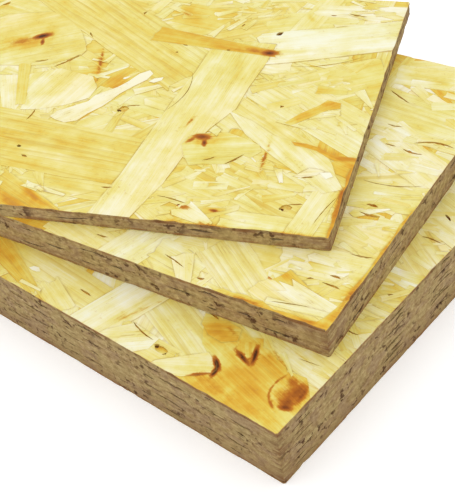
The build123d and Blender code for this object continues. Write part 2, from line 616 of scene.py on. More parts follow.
def dressed(data, marks, sideways):
    # polygons with their corner values: uv, look (tone, rings, rim, groove shade: painted contact shade),
    # mark (amber, brown, sawn, wall); brown also paints the shade in voids and near the sides' upright
    # corners
    shapes, flat = data["shapes"], data["flat"]
    pairPoint, pairOwner = data["pairPoint"], data["pairOwner"]
    tone = np.array([s["tone"] for s in shapes])
    rings = np.array([s["rings"] for s in shapes])
    line = np.array([s["line"] for s in shapes])
    dark = np.array([s.get("brown", 0.0) for s in shapes])
    fade = np.array([s["fade"] / max(s["half"], 1) for s in shapes])
    slant = np.array([turned(s["angle"]) for s in shapes])
    centre = np.array([s["centre"] for s in shapes])
    onBorder = np.isin(pairPoint, list(set(data["backAt"].values())))
    spot = flat[pairPoint]
    amber, brown = stained(data, marks, spot)
    # voids add their brown here: painted shade of the holes
    brown = np.maximum(brown, dark[pairOwner])
    along = ((spot - centre[pairOwner]) * slant[pairOwner]).sum(1)
    shown = (tone[pairOwner] + fade[pairOwner] * along).clip(0, 1)
    look = np.c_[shown, rings[pairOwner], data["rim"] * line[pairOwner], data["grooveShade"]]
    mark = np.c_[amber, brown, onBorder, np.zeros(len(spot))]
    uv = grainUv(shapes, pairOwner, spot)
    tops = data["tops"]
    polygons = tops.tolist()
    uvRows, lookRows, markRows = [uv[tops.ravel()]], [look[tops.ravel()]], [mark[tops.ravel()]]
    slots = [1 if sideways else 0] * len(tops)
    planPoint = {**{k: p for k, p in enumerate(pairPoint.tolist())}, **data["backAt"]}
    for kind in ("walls", "skirts"):
        for polygon, mine in data[kind]:
            polygons.append(polygon)
            spots = flat[[planPoint[k] for k in polygon]]
            outerWall = kind == "skirts"
            if outerWall and not sideways:
                z = data["vertices"][polygon, 2]
                uvRows.append(np.c_[spots.sum(1), z] * mm)
            else:
                uvRows.append(grainUv(shapes, np.full(len(polygon), mine), spots))
            rest = np.tile([rings[mine], line[mine], 0], (len(polygon), 1))
            lookRows.append(np.c_[shown[np.minimum(polygon, len(spot) - 1)], rest])
            own = np.zeros((len(polygon), 4))
            own[:, 0] = amber[polygon[0]]
            own[:, 1] = max(brown[polygon[0]], dark[mine])
            own[:, 2] = 1.0 if outerWall else 0.0
            own[:, 3] = 1.0
            markRows.append(own)
            slots.append(1 if sideways or outerWall else 0)
    polygons.append(data["back"])
    for store, width in ((uvRows, 2), (lookRows, 4), (markRows, 4)):
        store.append(np.zeros((len(data["back"]), width)))
    slots.append(1)
    return polygons, np.vstack(uvRows), np.vstack(lookRows), np.vstack(markRows), slots


def joinedMesh(name, parts):
    # parts: (vertices in the board's own millimetres, polygons, uvs, looks, marks, slots)
    vertices = np.vstack([p[0] for p in parts]) * mm
    polygons, shift = [], 0
    for part in parts:
        polygons += [[k + shift for k in polygon] for polygon in part[1]]
        shift += len(part[0])
    mesh = bpy.data.meshes.new(name)
    mesh.from_pydata(vertices.tolist(), [], polygons)
    layer = mesh.uv_layers.new(name="grain")
    layer.data.foreach_set("uv", np.vstack([p[2] for p in parts]).astype(np.float32).ravel())
    for title, column in (("look", 3), ("mark", 4)):
        values = mesh.color_attributes.new(title, "FLOAT_COLOR", "CORNER")
        values.data.foreach_set("color", np.vstack([p[column] for p in parts]).astype(np.float32).ravel())
    mesh.polygons.foreach_set("material_index", np.concatenate([p[5] for p in parts]).astype(np.int32))
    mesh.update()
    return mesh


# The faces: random strands first, the ones that show in the photograph laid over them

faceStrands = {
    "broad": {"count": 75, "long": (55, 130), "wide": (14, 30), "taper": (0.6, 1.0), "torn": 4.0},
    "middle": {"count": 110, "long": (30, 80), "wide": (7, 15), "taper": (0.6, 1.0), "torn": 3.5},
    "slivers": {"count": 150, "long": (14, 48), "wide": (2, 7), "taper": (0.3, 0.9), "torn": 3.0},
    "overhang": 8,         # how far past the sawn sides they may start
    "alongBoard": 28,      # spread in degrees of those that lie along the board
    "anyWay": 0.6,         # share that lie in any direction
    "tone": (0.40, 0.09, 0.12, 0.62),     # middle, spread, least and most
    "darker": (0.07, 0.60, 0.80), "paler": (0.16, 0.10, 0.22),     # up to which share, from tone, to tone
    "ringed": 0.4,         # share with strong latewood lines
    "lines": (0.3, 1.0), "plain": (0, 0.2),        # how strong they are there, and on the rest
    "bow": 0.6, "bowedFrom": 25,                   # spread, and the length from which they are bowed
    "rim": (0, 0.8), "fade": 0.09,
    "relief": 0.36,        # from the lowest strand that shows to the top ones
    "crowding": 1.5,       # above 1, more of the levels lie near the top
    "below": 0.03,         # from the solid's own face down to the highest level
    "swell": 0.012,
}
fraying = {
    "step": (1.2, 4.5),    # from one point of the sawn border to the next
    "uneven": 0.05,
    "nicked": 0.08, "nick": (0.1, 0.35),
    "most": 0.9,
}


def randomFlake(rng, kind):
    size, past = faceStrands[kind], faceStrands["overhang"]
    spot = np.array([rng.uniform(-stack["length"] - past, past), rng.uniform(-past, stack["depth"] + past)])
    length, width = rng.uniform(*size["long"]), rng.uniform(*size["wide"])
    anyWay = rng.rand() < faceStrands["anyWay"]
    angle = rng.uniform(0, 180) if anyWay else rng.normal(0, faceStrands["alongBoard"])
    half = turned(angle) * length / 2
    middle, spread, least, most = faceStrands["tone"]
    tone = float(np.clip(rng.normal(middle, spread), least, most))
    pick = rng.rand()
    for share, low, high in (faceStrands["darker"], faceStrands["paler"]):
        if pick < share:
            tone = rng.uniform(low, high)
            break
    rings = rng.uniform(*faceStrands["lines" if rng.rand() < faceStrands["ringed"] else "plain"])
    taper = rng.uniform(*size["taper"])
    widths = (width, width * taper) if rng.rand() < 0.5 else (width * taper, width)
    bow = rng.normal(0, faceStrands["bow"]) if length > faceStrands["bowedFrom"] else 0.0
    return flake(rng, spot - half, spot + half, widths, tone, rings, size["torn"], bow,
                 rng.uniform(*faceStrands["rim"]), rng.normal(0, faceStrands["fade"]))


def raggedBorder(rng, frays):
    # the sawn outline of a face, a little frayed; frays are (side, from, to, reach)
    length, depth, wear = stack["length"], stack["depth"], stack["cornerWear"] * 2
    corners = [(-length, 0), (0, 0), (0, depth), (-length, depth)]
    out = []
    for side in range(4):
        a, b = np.array(corners[side], float), np.array(corners[(side + 1) % 4], float)
        size = np.linalg.norm(b - a)
        d = (b - a) / size
        inwards = np.array([-d[1], d[0]])
        s = wear
        while s < size - wear:
            inset = abs(rng.normal(0, fraying["uneven"]))
            if rng.rand() < fraying["nicked"]:
                inset += rng.uniform(*fraying["nick"])
            for which, low, high, reach in frays:
                if which == side and low < s < high:
                    inset += rng.uniform(0, reach)
            out.append(a + d * s + inwards * min(inset, fraying["most"]))
            s += rng.uniform(*fraying["step"])
        out.append(b - d * wear)
    return np.array(out)


def faceShapes(rng, laid):
    # the lowest shape lies under the whole board and shows where no strand covers it
    backing = flake(rng, (-stack["length"], 0), (0, 0), (1, 1), 0.8)
    backing["outline"] = np.array([(-300, -100), (100, -100), (100, 300), (-300, 300)], float)
    shapes = [backing]
    broad, middle, slivers = (faceStrands[kind]["count"] for kind in ("broad", "middle", "slivers"))
    mixed = ["broad"] * (broad // 3) + ["middle"] * middle + ["slivers"] * slivers
    order = ["broad"] * (broad * 2 // 3) + list(rng.permutation(mixed))
    return shapes + [randomFlake(rng, kind) for kind in order] + laid


def faceSlab(rng, laid, marks, frays):
    shapes = faceShapes(rng, laid)
    domain = raggedBorder(rng, frays)
    below, relief, swell = faceStrands["below"], faceStrands["relief"], faceStrands["swell"]
    data = slab(
        shapes, domain, stack["faceLayer"],
        lambda t: -below - relief * (1 - t) ** faceStrands["crowding"],
        lambda p: -swell * (1 + np.sin(p[:, 0] / 9.3 + 1.1) * np.cos(p[:, 1] / 7.1)),
        marksPoints(marks),
    )
    return dressed(data, marks, False), data


# The sawn sides: strand ends in wavy courses, with the gaps between strands open, as the solids have them

sideStrands = {
    "pitch": 0.88,         # from one course of strand ends to the next
    "thick": (0.55, 1.25), "long": (7.0, 30.0),
    "lap": (0.8, 0.97),    # how much of its length a strand end leaves clear
    "pointPitch": 4.5,
    "uneven": 0.12,        # of its thickness
    "tips": (0.15, 0.6), "lower": (0.8, 1.1),      # thickness at both tips, and of the lower half
    "tone": (0.5, 0.2),
    "darkened": 0.10, "dark": (0, 0.2),
    "lean": 1.5,           # degrees
    # a gap's floor gets the darkest tone: painted shade of the gap
    "gapShadeTone": 0.05,
    "relief": 0.045, "crowding": 1.3, "below": 0.01,
    "wave": 0.22,
    "wearReach": 0.9,      # how far from an upright corner the wear begins
    "borderPitch": 8.0,
}
gaps = {                   # as the solids have them
    "rowPitch": 2.6, "columnPitch": 33.0, "width": (4.0, 15.0), "height": (0.5, 1.1),
    "deep": (1.5, 4.0), "cover": 0.4, "tornDepth": 0.7,
    "scatter": (0.6180, 0.7549, 0.5698),
}


def between(low, high, index, step):
    return low + (high - low) * ((index + 1) * step % 1)


def gapPlaces(thickness, scatter):
    # centre along the side, level, width, height and depth of each gap, for the four sides in turn
    a, b, c = gaps["scatter"]
    index = scatter
    margin = gaps["tornDepth"] + gaps["height"][1] / 2 + gaps["cover"]
    rows = max(1, round((thickness - 2 * margin) / gaps["rowPitch"]))
    rowStep = (thickness - 2 * margin) / rows
    endMargin = gaps["deep"][1] + gaps["cover"]
    places = []
    for sideLength in (stack["length"], stack["depth"]) * 2:
        columns = max(1, round((sideLength - 2 * endMargin) / gaps["columnPitch"]))
        columnStep = (sideLength - 2 * endMargin) / columns
        found = []
        for row in range(rows):
            for column in range(columns):
                index += 1
                width = min(between(*gaps["width"], index, a), columnStep - gaps["cover"])
                height = min(between(*gaps["height"], index, b), rowStep - gaps["cover"])
                deep = between(*gaps["deep"], index, c)
                slack = (columnStep - width) / 2
                centre = endMargin + (column + 0.5) * columnStep + between(-slack, slack, index, b)
                found.append((centre, margin + (row + 0.5) * rowStep, width, height, deep))
        places.append(found)
    return places


def courseLevel(s, z, phase):
    # the courses rise and fall together along the side
    swell = np.sin(s / 23 + phase + z / 9) + 0.6 * np.sin(s / 9.7 + 2 * phase - z / 5)
    return sideStrands["wave"] * (swell + 0.35 * np.sin(s / 4.3 + 5 * phase))


def strandEnd(rng, s0, s1, z, thick, phase):
    count = max(3, int((s1 - s0) / sideStrands["pointPitch"]) + 1)
    s = np.linspace(s0, s1, count)
    mid = z + courseLevel(s, z, phase)
    full = thick / 2 * (1 + rng.normal(0, sideStrands["uneven"], count))
    full[[0, -1]] *= rng.uniform(*sideStrands["tips"], 2)
    upper = np.c_[s, mid + full]
    lower = np.c_[s, mid - full * rng.uniform(*sideStrands["lower"])][::-1]
    shape = flake(rng, (s0, z), (s1, z), (1, 1), float(np.clip(rng.normal(*sideStrands["tone"]), 0, 1)))
    shape["outline"] = np.vstack([lower[::-1], upper[::-1]])
    shape["angle"] = rng.normal(0, sideStrands["lean"])
    shape["tilt"] = np.zeros(2)
    if rng.rand() < sideStrands["darkened"]:
        shape["tone"] = rng.uniform(*sideStrands["dark"])
    return shape


def sideSlab(rng, sideLength, height, places, phase, cornerShadeReach):
    backing = flake(rng, (0, 0), (sideLength, 0), (1, 1), 0.15)
    far = sideLength + 20
    backing["outline"] = np.array([(-20, -20), (far, -20), (far, 60), (-20, 60)], float)
    backing["tilt"] = np.zeros(2)
    ends = []
    for row in range(int(height / sideStrands["pitch"]) + 3):
        z = (row - 0.5) * sideStrands["pitch"]
        s = -rng.uniform(0, 20)
        while s < sideLength:
            run, thick = rng.uniform(*sideStrands["long"]), rng.uniform(*sideStrands["thick"])
            ends.append(strandEnd(rng, s, s + run, z, thick, phase))
            s += run * rng.uniform(*sideStrands["lap"])
    shapes = [backing] + [ends[k] for k in rng.permutation(len(ends))]
    for centre, level, width, tall, deep in places:
        place = (centre, level - stack["faceLayer"])
        lean, tone = rng.normal(0, sideStrands["lean"]), sideStrands["gapShadeTone"]
        shapes.append(pit(rng, place, (width, tall), lean, deep, tone, 0.0))
    pitch = sideStrands["borderPitch"]
    domain = [(s, 0) for s in np.arange(0, sideLength, pitch)] + [(sideLength, 0), (sideLength, height)]
    domain += [(s, height) for s in np.arange(sideLength - pitch, 0, -pitch)] + [(0, height)]
    wear, reach, below = stack["cornerWear"], sideStrands["wearReach"], sideStrands["below"]

    def rubbed(p):
        ends = np.minimum(p[:, 0], sideLength - p[:, 0]).clip(0, reach)
        return -wear * (1 - ends / reach) ** 2 - below

    data = slab(shapes, np.array(domain, float), stack["sideLayer"],
                lambda t: -below - sideStrands["relief"] * (1 - t) ** sideStrands["crowding"], rubbed)
    # at the upright corners the slabs of two sides meet on a mitre
    v = data["vertices"]
    v[:, 0] = np.minimum(np.maximum(v[:, 0], -v[:, 2]), sideLength + v[:, 2])
    polygons, uvs, looks, marks, slots = dressed(data, [], True)
    corner = np.concatenate([v[polygon, 0] for polygon in polygons])
    near = np.minimum(corner, sideLength - corner).clip(0)
    # painted shade, strongest at the upright corners, carried in the brown column
    marks[:, 1] = np.maximum(marks[:, 1], np.exp(-near / cornerShadeReach))
    return (polygons, uvs, looks, marks, slots), data


def boardParts(rng, spec, face):
    length, depth, thick = stack["length"], stack["depth"], spec["thickness"]
    layer = stack["faceLayer"]
    polygons, data = faceSlab(rng, *laidOut(rng, face), face["frays"])
    parts = [(data["vertices"] + (0, 0, thick), *polygons)]
    polygons, data = faceSlab(rng, [], [], [])
    v = data["vertices"]
    parts.append((np.c_[v[:, 0], depth - v[:, 1], -v[:, 2]], *polygons))
    starts = [(-length, 0), (0, 0), (0, depth), (-length, depth)]
    ways = [(1, 0), (0, 1), (-1, 0), (0, -1)]
    for side, places in enumerate(gapPlaces(thick, spec["scatter"])):
        run = length if side % 2 == 0 else depth
        polygons, data = sideSlab(rng, run, thick - 2 * layer, places, rng.uniform(0, 6), spec["cornerShadeReach"])
        v = data["vertices"]
        (ax, ay), (dx, dy) = starts[side], ways[side]
        # outwards is along x up, so a height of the slab goes that way
        x = ax + dx * v[:, 0] + dy * v[:, 2]
        y = ay + dy * v[:, 0] - dx * v[:, 2]
        parts.append((np.c_[x, y, v[:, 1] + layer], *polygons))
    return parts


def deselect():
    for ob in bpy.context.selected_objects:
        ob.select_set(False)


def addCore(spec):
    # the closed middle of a board, behind the strand layers
    layer, side = stack["faceLayer"], stack["sideLayer"]
    size = (stack["length"] - 2 * side, stack["depth"] - 2 * side, spec["thickness"] - 2 * layer)
    middle = (-stack["length"] / 2 * mm, stack["depth"] / 2 * mm, spec["thickness"] / 2 * mm)
    deselect()
    bpy.ops.mesh.primitive_cube_add(size=1, location=middle)
    core = bpy.context.object
    core.data.uv_layers[0].name = "grain"
    core.scale = [s * mm for s in size]
    bpy.ops.object.transform_apply(location=True, rotation=True, scale=True)
    return core


def laidInStack(ob, spec):
    # from the board's own corner to its place in the stack
    x = stack["length"] / 2 - spec["setback"][0]
    y = -stack["depth"] / 2 + spec["setback"][1]
    place = Matrix.Translation((x * mm, y * mm, spec["level"] * mm))
    ob.data.transform(place @ Matrix.Rotation(math.radians(spec["turn"]), 4, "Z"))
    ob.data.update()


def addBoard(name, spec, face, materials):
    rng = np.random.RandomState(spec["seed"])
    mesh = joinedMesh(name, boardParts(rng, spec, face))
    ob = bpy.data.objects.new(name, mesh)
    bpy.context.collection.objects.link(ob)
    core = addCore(spec)
    core.data.materials.append(materials[1])
    for material in materials:
        ob.data.materials.append(material)
    deselect()
    core.select_set(True)
    ob.select_set(True)
    bpy.context.view_layer.objects.active = ob
    bpy.ops.object.join()
    laidInStack(ob, spec)
    deselect()
    ob.select_set(True)
    bpy.context.view_layer.objects.active = ob
    bpy.ops.object.shade_smooth_by_angle(angle=math.radians(stack["smoothAngle"]))
    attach(ob, "root")
    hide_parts(spec["node"])
    triangles = sum(len(p.vertices) - 2 for p in ob.data.polygons)
    print(name, "laid,", triangles, "triangles")
    return ob


# Strands that show in the photograph: from, to and widths at the two ends, or an outline and its grain's
# angle, then tone, rings and other values

thinLaid = [
    ((-176, 128), (-126, 112), (26, 22), 0.45, 0.3, {}),
    ((-148, 104), (-127, 58), (24, 22), 0.30, 0.1, {"line": 0.2, "torn": 5}),
    ((-158, 92), (-142, 58), (11, 8), 0.18, 0.0, {"line": 0.2, "torn": 5}),
    ((-148, 19), (-78, 12), (13, 12), 0.48, 0.4, {}),
    ((-132, 15), (-102, -3), (11, 9), 0.60, 0.8, {}),
    ((-128, 6), (-112, -3), (6, 7), 0.74, 0.5, {}),
    ((-109, 76), (-100, 93), (11, 10), 0.62, 0.1, {"line": 0.1}),
    ((-98, 134), (-72, 128), (14, 15), 0.66, 0.1, {}),
    ((-44, 72), (0, 96), (27, 28), 0.50, 0.1, {}),
    ((-44, 86), (8, 50), (22, 22), 0.34, 0.35, {}),
    ((-60, 70), (6, 21), (19, 17), 0.36, 0.45, {"line": 0.5}),
    ((-28, 42), (-10, 36), (13, 11), 0.58, 0.0, {}),
    ((-45, 43), (-27, 40), (15, 13), 0.40, 0.1, {"torn": 1}),
    ((-44, 54), (-49, 31), (12, 10), 0.66, 0.2, {"line": 0.9}),
    ((-52, 30), (-12, 8), (21, 20), 0.52, 0.85, {"line": 0.4}),
    ((-66, 20), (-40, 10), (13, 12), 0.45, 0.2, {}),
    ((-40, 5), (2, 3), (8, 9), 0.38, 0.0, {}),
    ((-6, 26), (-12, -3), (9, 10), 0.36, 0.1, {"line": 0.9}),
    ((-8, 41), (4, 35), (9, 9), 0.70, 0.0, {}),
    ((-150, 41), (-74, 30), (31, 27), 0.56, 0.9, {"torn": 3}),
    ([(-190, 106), (-172, 124), (-152, 128), (-141.8, 124.1), (-136, 118), (-132.9, 113.3), (-128.5, 106),
      (-126.1, 100.5), (-127, 97), (-130.6, 93.5), (-138.1, 88), (-149, 86.5), (-160, 86), (-190, 82)],
     26, 0.40, 0.25, {"line": 0.8, "fade": 0.08}),
    ((-158, 151), (-74, 88), (27, 27), 0.50, 0.9, {"torn": 2}),
    ((-52, 109), (6, 126), (21, 22), 0.16, 0.1, {"line": 1.0, "torn": 1}),
    ([(-54, 66), (-44, 61), (-33, 53), (-23, 49.5), (-15, 46.5), (-10, 43), (-7.5, 38.5), (-5.5, 33),
      (-1, 26), (-8, 23), (-16, 30), (-30, 41), (-44, 53)], -43, 0.30, 0.2, {"line": 0.6}),
    ([(-73, 114), (-74, 104), (-75, 90), (-77, 80), (-78, 72), (-80, 55), (-81, 42), (-83.5, 22), (-87, 4),
      (-89, -5), (-71, -5), (-72, 0), (-69, 10), (-66, 20), (-64, 32), (-62.5, 42), (-58, 55), (-52, 68),
      (-50.5, 82), (-48, 100), (-47.5, 113)], 84, 0.32, 0.1, {"line": 0.9, "fade": 0.14}),
    ([(-66, 43.5), (-65.4, 46), (-64.4, 48.2), (-62.4, 50.6), (-60.1, 51.6), (-56.7, 51.4), (-51, 53),
      (-43, 50), (-37, 46.5), (-35, 43), (-38, 39), (-41, 40), (-46, 34), (-55, 33), (-60, 32), (-63.5, 37)],
     12, 0.42, 0.15, {"line": 0.6}),
    ([(-146, 80), (-132, 86), (-123, 84), (-116.5, 82), (-112, 75), (-112.6, 68), (-121, 62), (-130.6, 58),
      (-138, 57), (-139, 67), (-144, 74)], 74, 0.27, 0.1, {"line": 0.5, "fade": 0.06}),
    ((-149, 88), (-139.5, 60), (5, 4), 0.52, 0.0, {"line": 0.3}),
    ([(-124.1, 54), (-122.3, 58), (-117.1, 62), (-112.1, 65.2), (-110.7, 69.6), (-107.4, 73), (-103.5, 76.4),
      (-100.6, 80.6), (-97.7, 86.3), (-93.7, 89.3), (-92, 87.1), (-93.3, 82.8), (-97.6, 77), (-100.7, 71.8),
      (-102.9, 67.3), (-105, 63.1), (-109.2, 57.6), (-112.1, 52.6), (-116.6, 51), (-121.5, 52.2)],
     52, 0.02, 0.0, {"line": 0.7, "fade": -0.05}),
    ([(-92.2, 81.6), (-90.4, 83.8), (-87.2, 85), (-87, 83), (-89.5, 80.9)], 20, 0.02, 0.0, {"line": 0.8}),
    ([(-31, 61.4), (-26.4, 68), (-21, 73.7), (-18.3, 77.6), (-12.9, 76.4), (-12.5, 73.2), (-16.9, 71.4),
      (-21.4, 66.6), (-28.4, 60.2)], 38, 0.60, 0.1, {"line": 0.5, "fade": 0.12}),
    ([(-25.2, 50.2), (-19.5, 49.8), (-14.9, 48.5), (-10.9, 45.8), (-7.3, 44.1), (-1.5, 44.4), (3, 44),
      (3, 41.8), (-1.1, 41.8), (-6.8, 41.4), (-10.3, 42.6), (-15.4, 46), (-20.3, 47.9), (-23.9, 48.5)],
     -24, 0.86, 0.0, {"line": 0.5}),
    ((-100, 116), (-45, 106), (10, 4), 0.80, 0.3, {"torn": 1, "line": 0.5}),
    ((-55, 8), (-43, 1), (9, 3), 0.24, 0.0, {"torn": 2}),
    # pale wood painted near white as the highlight of a raised shard, with a small piece beside it; line 1.0
    # paints the shade beneath
    ([(-20.1, 30.6), (-15.6, 35.8), (-11.8, 35.9), (-9.8, 35), (-11.9, 32.6), (-17.3, 30.4)],
     14, 0.04, 0.0, {"line": 1.0}),
    ([(-11.4, 34), (-7.6, 34.4), (-5.9, 32.6), (-8.7, 31)], 14, 0.10, 0.0, {"line": 0.6}),
    ([(-58, 53), (-56.8, 56.8), (-53.3, 54.2), (-54.3, 50.4)], 40, 0.34, 0.0, {"line": 1.0}),
    ((-116, 12.4), (-100, 8.4), (2.6, 1.2), 0.22, 0.0, {"line": 1.0, "torn": 1}),
    ([(4, -3), (-0.9, -2), (-1.3, 3), (-0.8, 8), (-1.7, 13), (-1.0, 18), (-2.0, 23), (-1.0, 28), (-1.5, 33),
      (-0.6, 38), (4, 40)], 90, 0.86, 0.1, {"line": 0.8}),
    ([(-112.8, 10.9), (-111.7, 12.2), (-109.9, 11.8), (-108.6, 9.8), (-109.4, 9.2), (-111.2, 10)],
     -30, 0.10, 0.0, {"line": 1.0, "fade": 0.2}),
]
mediumLaid = [
    ((-40, 128), (4, 134), (12, 12), 0.36, 0.1, {"line": 0.3}),
    ((-42, 108), (4, 104), (24, 24), 0.42, 0.5, {}),
    ((-30, 92), (4, 76), (17, 15), 0.24, 0.2, {}),
    ((-28, 60), (4, 66), (14, 14), 0.44, 0.1, {}),
    ((-34, 44), (4, 40), (15, 15), 0.34, 0.1, {}),
    ((-30, 24), (4, 28), (15, 14), 0.30, 0.1, {}),
    ((-134, 2), (-112, 2), (9, 8), 0.80, 0.4, {}),
    ((-112, 8), (-86, 2), (13, 11), 0.40, 0.4, {}),
    ((-73, 20), (-82, -6), (16, 16), 0.22, 0.05, {"line": 0.5, "torn": 1}),
    ((-70, 10), (-50, 6), (10, 9), 0.42, 0.3, {"line": 0.8}),
    ((-60, 10), (-51, -3), (8, 4), 0.28, 0.0, {"torn": 2, "line": 0.8}),
    ((-52, 20), (-16, -4), (17, 15), 0.38, 0.7, {"line": 0.6}),
    ((-26, 14), (-14, 8), (11, 11), 0.60, 0.1, {}),
    ((-30, 9), (5, -2), (9, 8), 0.30, 0.2, {"line": 0.6, "torn": 3}),
    ((-22, 12), (4, 5), (7, 8), 0.20, 0.1, {"line": 0.8, "torn": 4}),
    ((-24, 3.6), (4, 6.8), (3, 2.4), 0.26, 0.0, {"line": 0.9}),
    ([(-46, -4), (-42, 0.6), (-39.3, 2.5), (-35.5, 2), (-31, 3), (-28.2, 2.4), (-24.5, 2.7), (-19.7, 1.3),
      (-14, 2.1), (-9, 1.3), (-4.8, 2.5), (-3.6, 5.2), (-2.2, 9), (-1.4, 14), (-2.1, 19), (-1.0, 24),
      (-0.7, 32), (-1.2, 38), (-0.6, 46), (-1.3, 52), (-0.6, 60), (4, 62), (4, -4)],
     2, 0.66, 0.2, {"line": 0.8}),
]
thickLaid = [
    ((-16, 110), (4, 104), (20, 20), 0.34, 0.4, {}),
    ((-16, 90), (4, 78), (18, 16), 0.40, 0.7, {}),
    ((-14, 74), (4, 74), (7, 7), 0.14, 0.0, {}),
    ((-14, 66), (4, 64), (12, 12), 0.52, 0.1, {}),
    ((-16, 46), (4, 46), (26, 26), 0.30, 0.1, {}),
    ((-40, 34), (4, 27), (15, 14), 0.30, 0.6, {"line": 0.5}),
    ((-136, 14), (-80, 11), (15, 13), 0.46, 0.7, {}),
    ((-142, 13), (-108, 1.5), (11, 4), 0.60, 0.7, {}),
    ((-133, 7), (-112, 2.2), (3, 1.6), 0.76, 0.3, {}),
    ((-108, 7), (-92, 1), (9, 8), 0.38, 0.1, {}),
    ([(-118.2, 8.8), (-117.2, 10.3), (-115.2, 10.6), (-113.4, 9.4), (-114.4, 8.7), (-116.2, 8.5)],
     -20, 0.14, 0.0, {"line": 1.0, "fade": 0.2}),
    ((-116, 2.6), (-106, 3.1), (1.6, 0.8), 0.36, 0.0, {"line": 1.0, "torn": 1}),
    ((-70, 24), (-38, 12), (16, 14), 0.36, 0.8, {"line": 0.6}),
    ((-72, 34), (-82, -6), (17, 17), 0.18, 0.05, {"line": 0.8, "torn": 1}),
    ((-70, 4), (-46, 4), (11, 10), 0.42, 0.2, {}),
    ([(-56, 9), (-56, 4), (-60, -0.5), (-70, -4), (-77, -4), (-74.4, 2), (-67.8, 10)],
     40, 0.24, 0.0, {"line": 0.7}),
    ([(-50.5, 30), (-44, 31), (-35, 28), (-31, 26.4), (-27.4, 27.8), (-25, 24.8), (-21, 26),
      (-18.4, 23.6), (-15.6, 24), (-12.6, 21), (-10.5, 21.6), (-6, 22.4),
      (-3.1, 20.1), (-0.6, 17), (4, 16), (4, -4), (-46, -4), (-42, 2), (-36, 8), (-38, 13), (-43, 15.6),
      (-47, 21)],
     -14, 0.57, 0.12, {"line": 0.3}),
    ((-30, 31), (-20, 24.4), (3.0, 0.9), 0.46, 0.2, {"line": 0.4}),
    ((-18.5, 26.5), (-10, 20.6), (2.2, 0.7), 0.40, 0.2, {"line": 0.4}),
    ([(-50.5, 26.3), (-44.5, 27.9), (-36, 27.4), (-33.9, 22.7), (-37.9, 19), (-43.7, 19.5), (-48.5, 22)],
     30, 0.60, 0.1, {"line": 0.9, "fade": -0.06}),
    ([(-32.2, 19.8), (-32.8, 22.8), (-28.4, 25.6), (-26.4, 22), (-23.9, 17.2)],
     -50, 0.58, 0.2, {"line": 0.3}),
    ([(-54, -4), (-52.1, -1.7), (-50.7, 1.7), (-45.5, 7.2), (-41, 11.6), (-38.6, 13.4), (-35.9, 12.6),
      (-33.2, 11.2), (-31.8, 9.6), (-32.2, 7.6), (-35.3, 4.7), (-38.9, 1.2), (-43.8, -0.9), (-47, -4)],
     30, 0.26, 0.1, {"line": 0.9, "fade": 0.14}),
]

# Chips: middle, spread, count, angle
thinFines = [
    ((-26, 82), (11, 6), 30, 10), ((-62, 128), (9, 7), 22, 30), ((-105, 78), (14, 12), 26, 50),
    ((-30, 28), (12, 7), 36, -20), ((-130, 74), (9, 6), 12, -30), ((-110, 128), (12, 8), 24, 10),
    ((-50, 12), (12, 7), 22, 10), ((-15, 130), (10, 5), 18, 0), ((-172, 90), (12, 20), 26, 20),
    ((-120, 16), (16, 6), 20, -20), ((-14, 62), (8, 8), 14, -30),
]
mediumFines = [
    ((-12, 115), (9, 12), 20, 0), ((-12, 84), (9, 8), 18, -10), ((-10, 52), (8, 9), 20, 10),
    ((-12, 22), (8, 9), 18, 0), ((-55, 8), (18, 6), 22, -20), ((-105, 7), (18, 5), 18, 10),
]
thickFines = [
    ((-8, 98), (5, 12), 18, 0), ((-7, 62), (5, 8), 18, 10), ((-7, 38), (4, 6), 12, 0),
    ((-62, 10), (8, 6), 12, -20), ((-112, 8), (16, 5), 22, 10),
]

# Marks: place, reach along and across, angle, amber, brown, and whether it spreads over every strand there
thinMarks = [
    ((-44, 0.3), (16.0, 0.8), 0, 1.0, 0.40, True), ((-16, 0.3), (18.0, 0.7), 0, 1.0, 0.34, True),
    ((-0.8, 16), (18.0, 1.5), 90, 1.0, 0.36, True), ((-1.0, 24), (4.0, 1.6), 90, 1.0, 0.5, True),
    ((-149.6, 108.8), (4.8, 2.2), 26, 0.9, 1.1, True), ((-157.0, 104.4), (10.0, 3.4), 32, 1.0, 0.38, True),
    ((-154, 106), (12.0, 6.0), 30, 1.0, 0.1, True),
    ((-147.8, 104.6), (3.2, 1.1), -72, 0.5, 0.8, True), ((-48.5, 106.5), (4.0, 2.3), 0, 0.8, 0.95, True),
    ((-56, 107.5), (9.0, 2.0), -6, 0.8, 0.45), ((-59.6, 49.0), (4.6, 2.2), -4, 0.8, 0.85),
    ((-63.6, 46.4), (3.4, 1.4), 52, 0.8, 0.55),
    ((-57.8, 45.4), (2.6, 1.2), -75, 0.5, 0.9), ((-58, 46), (8.0, 5.0), 20, 0.9, 0.14),
    ((-54.0, 8.6), (3.6, 1.8), -8, 1.0, 0.5), ((-56.4, 9.6), (1.4, 1.0), 0, 0.8, 0.9),
    ((-43, 8.2), (2.2, 0.9), -8, 0.7, 0.8),
    ((-17, 74.5), (5.0, 2.6), 15, 0.9, 0.05), ((-26, 66), (8.0, 3.0), 50, 0.6, 0.0),
    ((-86, 131), (10.0, 6.0), 0, 0.45, 0.0), ((-105, 82), (3.5, 8.0), 15, 0.55, 0.0),
    ((-92, 132), (3.2, 1.8), -20, 0.9, 0.3), ((-117.5, 95), (13.0, 0.8), -76, 0.8, 0.55, True),
    ((-33.1, 40), (11.0, 0.8), -88, 0.8, 0.55, True), ((-138, 63), (4.0, 1.2), -50, 0.8, 0.15),
    ((-15, 47.5), (10.0, 1.6), -18, 0.75, 0.15, True), ((-4, 43), (5.0, 1.3), -4, 0.75, 0.15, True),
    ((-23, 34.5), (5.6, 3.4), 10, 0.5, 0.0), ((-2.5, 73), (5.0, 1.2), 80, 0.8, 0.25),
    ((-67, 58), (4.2, 0.7), 76, 0.4, 0.35), ((-38, 134), (2.8, 1.2), -60, 0.8, 0.15),
    ((-121, 3), (7.0, 2.0), -30, 1.0, 0.2, True), ((-112, 6.6), (9.0, 1.2), -38, 0.9, 0.15, True),
]
